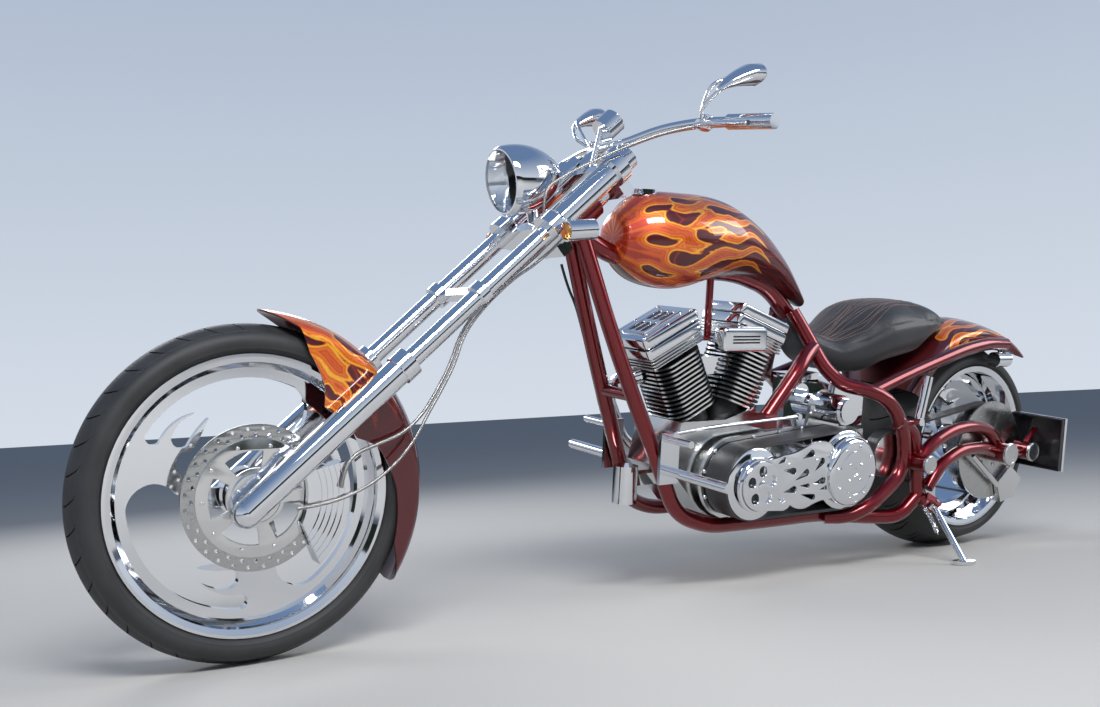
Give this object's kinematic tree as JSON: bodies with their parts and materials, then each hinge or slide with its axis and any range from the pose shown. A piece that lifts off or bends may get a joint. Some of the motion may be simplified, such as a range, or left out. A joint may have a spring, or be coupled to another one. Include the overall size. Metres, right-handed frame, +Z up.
{
  "type": "chopper motorcycle",
  "caption": "Long, low chopper motorcycle with a raked fork, open finned V engine, open belt drives and a wide rear tyre, leaning on its side stand.",
  "frame": {"origin": "bottom centre of the bounding box, on the ground that the parked motorcycle stands on", "axes": "+X towards the front wheel, +Y to the rider's left, which is the side that it leans to, +Z up"},
  "size_m": [2.9151, 0.8754, 1.3164],
  "materials": {
    "belt_rubber": "toothed, matt",
    "black_leather": "smooth, stitched",
    "chrome": "mirror",
    "clear_lens": "clear",
    "flame_paint": "deep red gloss with flames",
    "polished_alloy": "polished",
    "red_paint": "deep red gloss over metal flake",
    "satin_alloy": "satin",
    "steel": "brushed",
    "tyre_rubber": "matt tread, satin wall"
  },
  "bodies": {
    "front_wheel": {"front_tyre": "tyre_rubber", "front_rim": "chrome", "front_rotors": "steel"},
    "rear_wheel": {"rear_tyre": "tyre_rubber", "rear_rim": "chrome", "rear_pulley": "polished_alloy", "rear_rotor": "steel"},
    "steering": {"front_axle": "chrome", "fork_left": "chrome", "fork_right": "chrome", "fork_clamps": "chrome", "handlebar": "chrome", "hand_controls": "chrome", "speedometer": "chrome", "headlight": "chrome", "headlight_lens": "clear_lens", "front_signals": "chrome", "front_fender": "flame_paint", "front_calipers": "chrome"},
    "root": {"rear_axle": "chrome", "frame_backbone": "red_paint", "frame_rear": "red_paint", "frame_cradle": "red_paint", "swingarm": "red_paint", "tank": "flame_paint", "fuel_cap": "chrome", "rear_fender": "flame_paint", "seat": "black_leather", "crankcase": "polished_alloy", "cylinders": "satin_alloy", "rocker_boxes": "chrome", "coil_cover": "chrome", "top_mount": "chrome", "primary_plate": "polished_alloy", "primary_belt": "belt_rubber", "primary_pulleys": "chrome", "transmission": "polished_alloy", "starter": "chrome", "final_belt": "belt_rubber", "primary_cover": "polished_alloy", "air_cleaner": "chrome", "exhaust_pipes": "chrome", "oil_tank": "chrome", "oil_filter": "chrome", "foot_controls": "chrome", "passenger_pegs": "chrome", "rear_caliper": "polished_alloy", "plate_holder": "chrome", "rear_signals": "chrome"},
    "side_stand": {"side_stand": "chrome"}
  },
  "joints": [
    {"name": "steering", "type": "hinge", "parent": "root", "child": "steering", "pos_m": [0.32409, -0.01711, 0.92944], "axis": [-0.7605, 0.1128, 0.6394], "range_deg": [-24.4, 35.6]},
    {"name": "front_wheel_spin", "type": "hinge", "parent": "steering", "child": "front_wheel", "pos_m": [1.1082, -0.12552, 0.34855], "axis": [0.0634, 0.993, -0.0997], "continuous": true},
    {"name": "rear_wheel_spin", "type": "hinge", "parent": "root", "child": "rear_wheel", "pos_m": [-1.12461, -0.12266, 0.33052], "axis": [0, 0.9848, -0.1736], "continuous": true},
    {"name": "side_stand", "type": "hinge", "parent": "root", "child": "side_stand", "pos_m": [-0.81858, 0.10044, 0.1562], "axis": [-0.0408, 0.8143, 0.579], "range_deg": [0, 85]}
  ]
}
